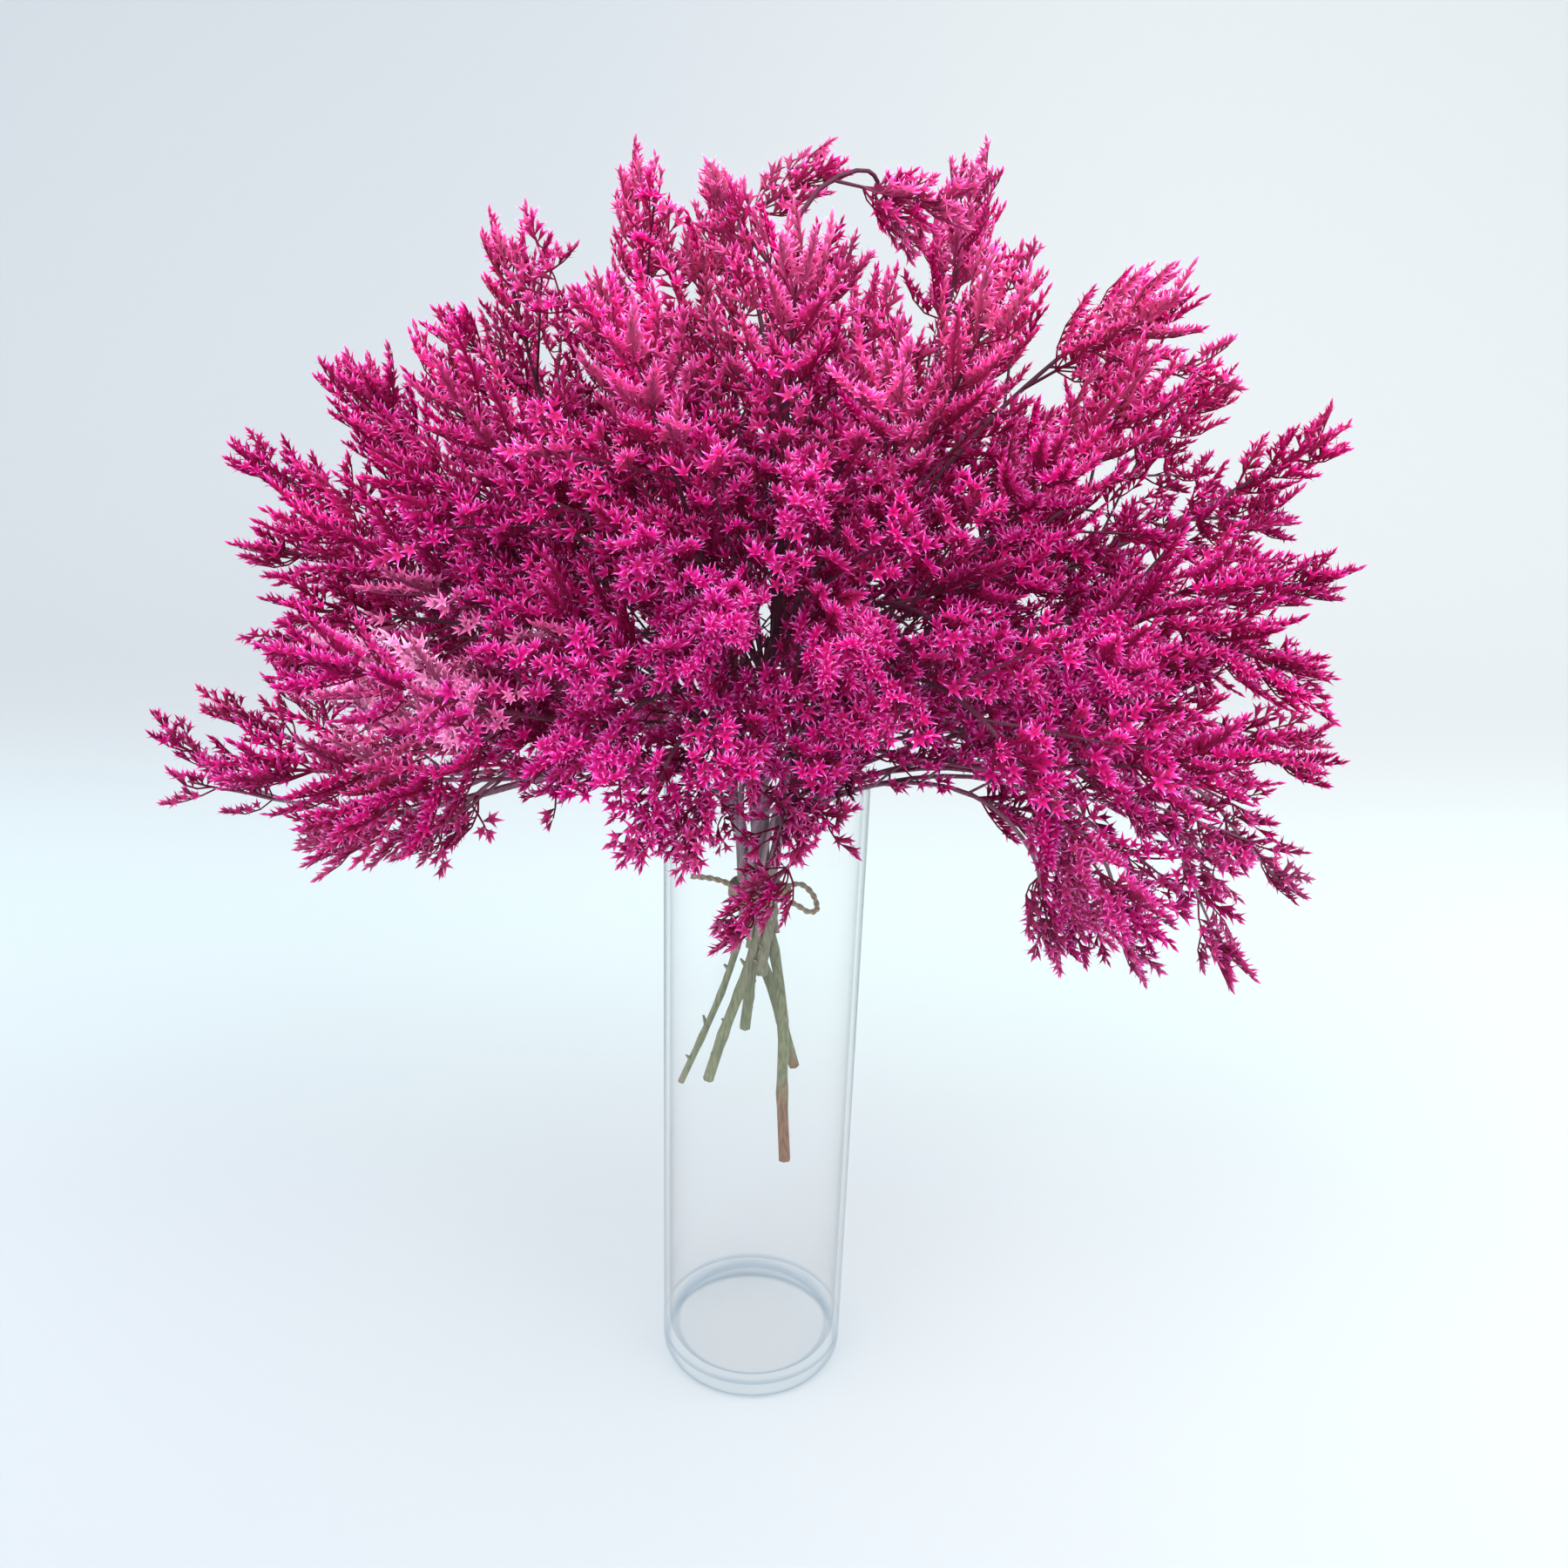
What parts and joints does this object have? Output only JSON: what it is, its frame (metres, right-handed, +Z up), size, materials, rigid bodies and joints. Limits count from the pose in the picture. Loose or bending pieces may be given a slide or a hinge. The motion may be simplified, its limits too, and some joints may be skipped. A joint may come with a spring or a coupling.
{
  "type": "dried statice in a glass vase",
  "caption": "Bunch of dyed dried statice, tied with jute twine and standing in a tall clear glass cylinder vase.",
  "frame": {"origin": "centre of the vase's foot, on the surface that it stands on", "axes": "+Z up along the vase's axis, -Y towards the front of the bunch, +X to its right seen from the front"},
  "size_m": [0.4854, 0.3618, 0.5394],
  "materials": {
    "clear_glass": "clear, polished soda-lime glass",
    "jute_twine": "matte, hairy twisted jute",
    "dyed_statice": "matte, dry papery florets dyed magenta"
  },
  "bodies": {
    "root": {"vase": "clear_glass", "twine_tie": "jute_twine", "statice_stem_crown": "dyed_statice", "statice_stem_left": "dyed_statice", "statice_stem_front": "dyed_statice", "statice_stem_right": "dyed_statice", "statice_stem_back_right": "dyed_statice", "statice_stem_back_left": "dyed_statice"}
  },
  "joints": []
}
